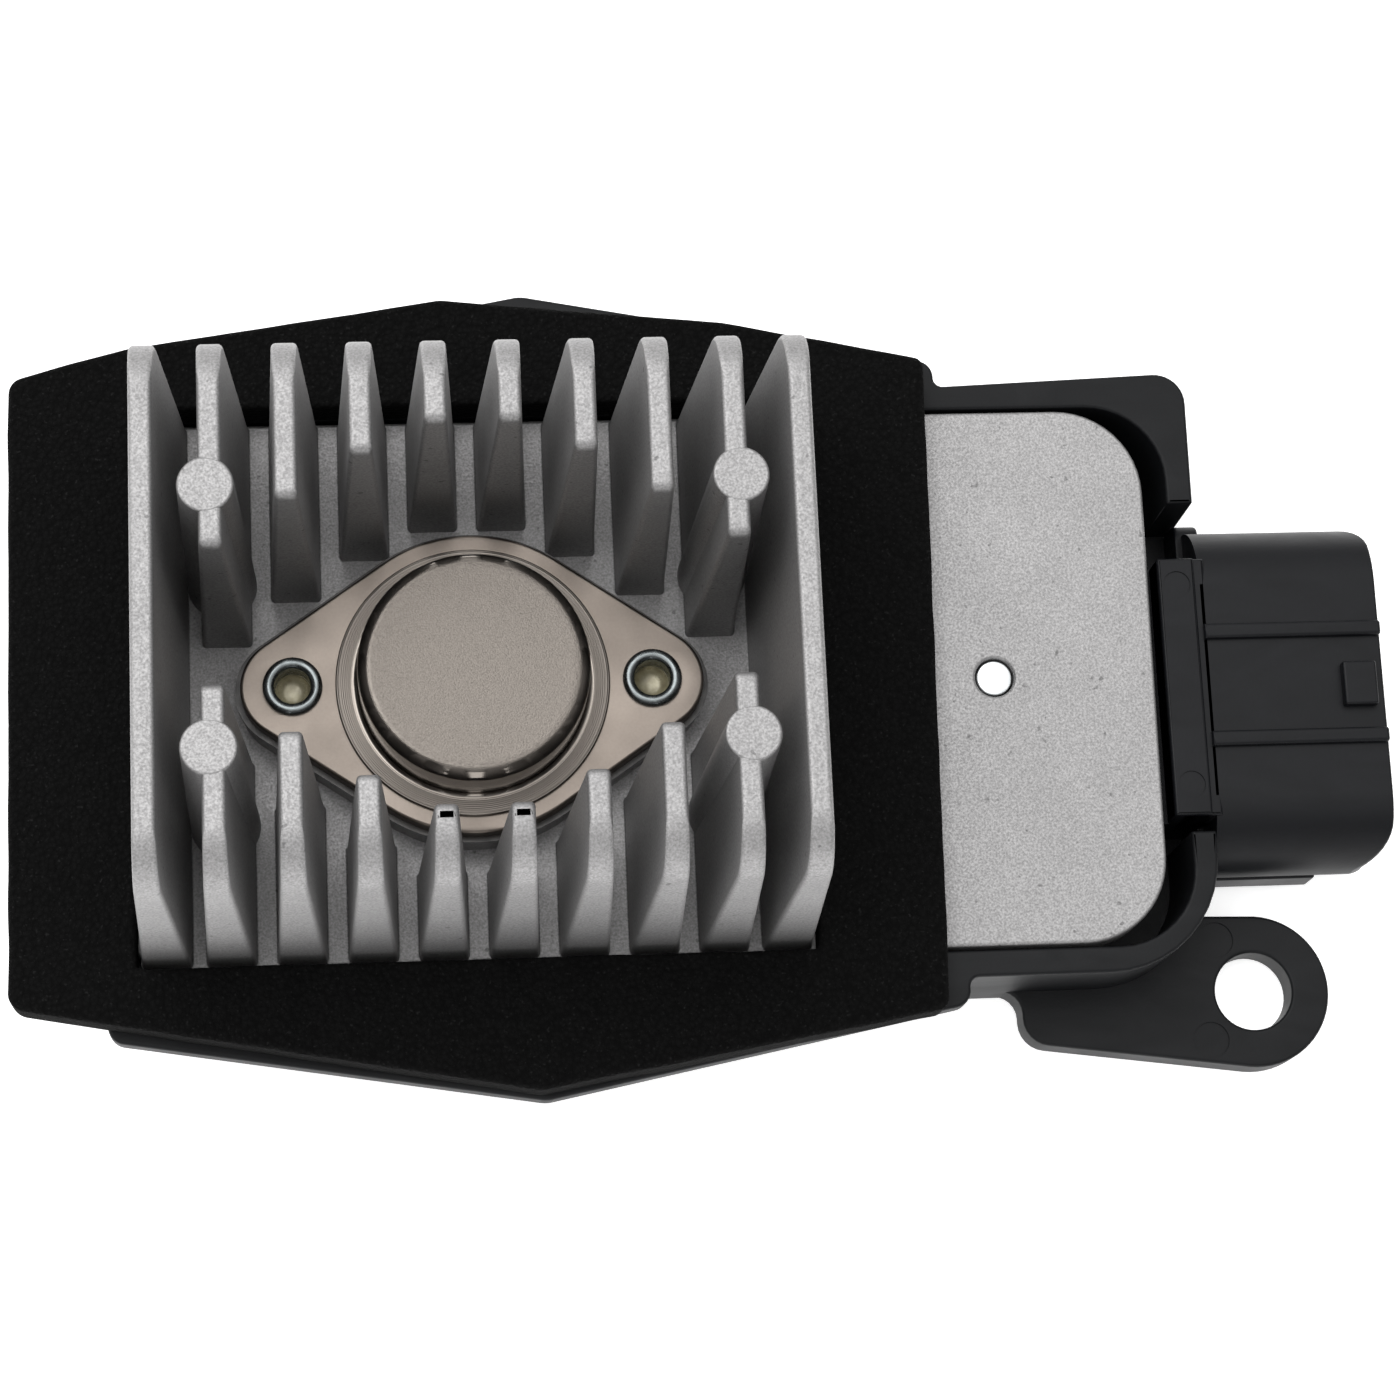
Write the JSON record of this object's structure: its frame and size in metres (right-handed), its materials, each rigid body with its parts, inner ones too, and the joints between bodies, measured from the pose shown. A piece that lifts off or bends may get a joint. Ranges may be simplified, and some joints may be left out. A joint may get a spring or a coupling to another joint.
{
  "type": "blower motor control module",
  "caption": "Flanged power module: a can transistor on a finned cast heat sink closes a plastic housing with a foam duct gasket, a shrouded socket and a screw ear.",
  "frame": {"origin": "centre of the overall length and height in plan, on the housing's back face", "axes": "+X towards the connector, +Y across the module away from the screw ear, +Z along the fins"},
  "size_m": [0.1186, 0.071, 0.0425],
  "materials": {
    "cast_aluminium": "bead-blasted die casting",
    "housing_plastic": "fine-textured glass-filled nylon",
    "foam": "closed-cell foam",
    "connector_plastic": "moulded, faint sheen",
    "tinned_brass": "tin plated",
    "nickel_steel": "matt nickel plate",
    "seal_glass": "fused glass bead",
    "copper": "bare copper",
    "silicon": "polished die",
    "bright_aluminium": "drawn wire",
    "mica": "thin mica sheet",
    "plated_steel": "bright zinc plate",
    "nylon": "natural nylon",
    "solder": "solder with flux residue",
    "board_laminate": "solder resist over laminate",
    "black_epoxy": "moulded epoxy",
    "resistance_alloy": "rolled strip",
    "capacitor_ceramic": "fired body",
    "tantalum_yellow": "moulded epoxy"
  },
  "bodies": {
    "root": {"heat_sink": "cast_aluminium", "housing": "housing_plastic", "foam_gasket": "foam", "connector_body": "connector_plastic", "battery_terminal": "tinned_brass", "ground_terminal": "tinned_brass", "motor_terminal": "tinned_brass", "control_terminal": "tinned_brass", "sense_terminal": "tinned_brass", "transistor_base": "nickel_steel", "transistor_cap": "nickel_steel", "transistor_leads": "nickel_steel", "glass_seals": "seal_glass", "heat_spreader": "copper", "silicon_die": "silicon", "bond_wires": "bright_aluminium", "insulating_washer": "mica", "eyelet_rivets": "plated_steel", "eyelet_bushings": "nylon", "eyelet_solder": "solder", "lead_sleeves": "nylon", "circuit_board": "board_laminate", "board_rivet": "plated_steel", "driver_chip": "black_epoxy", "driver_chip_pins": "tinned_brass", "shunt_resistor": "resistance_alloy", "chip_resistors": "black_epoxy", "chip_capacitors": "capacitor_ceramic", "bulk_capacitors": "tantalum_yellow", "protection_diode": "black_epoxy", "solder_joints": "solder", "housing_screws": "plated_steel"}
  },
  "joints": []
}
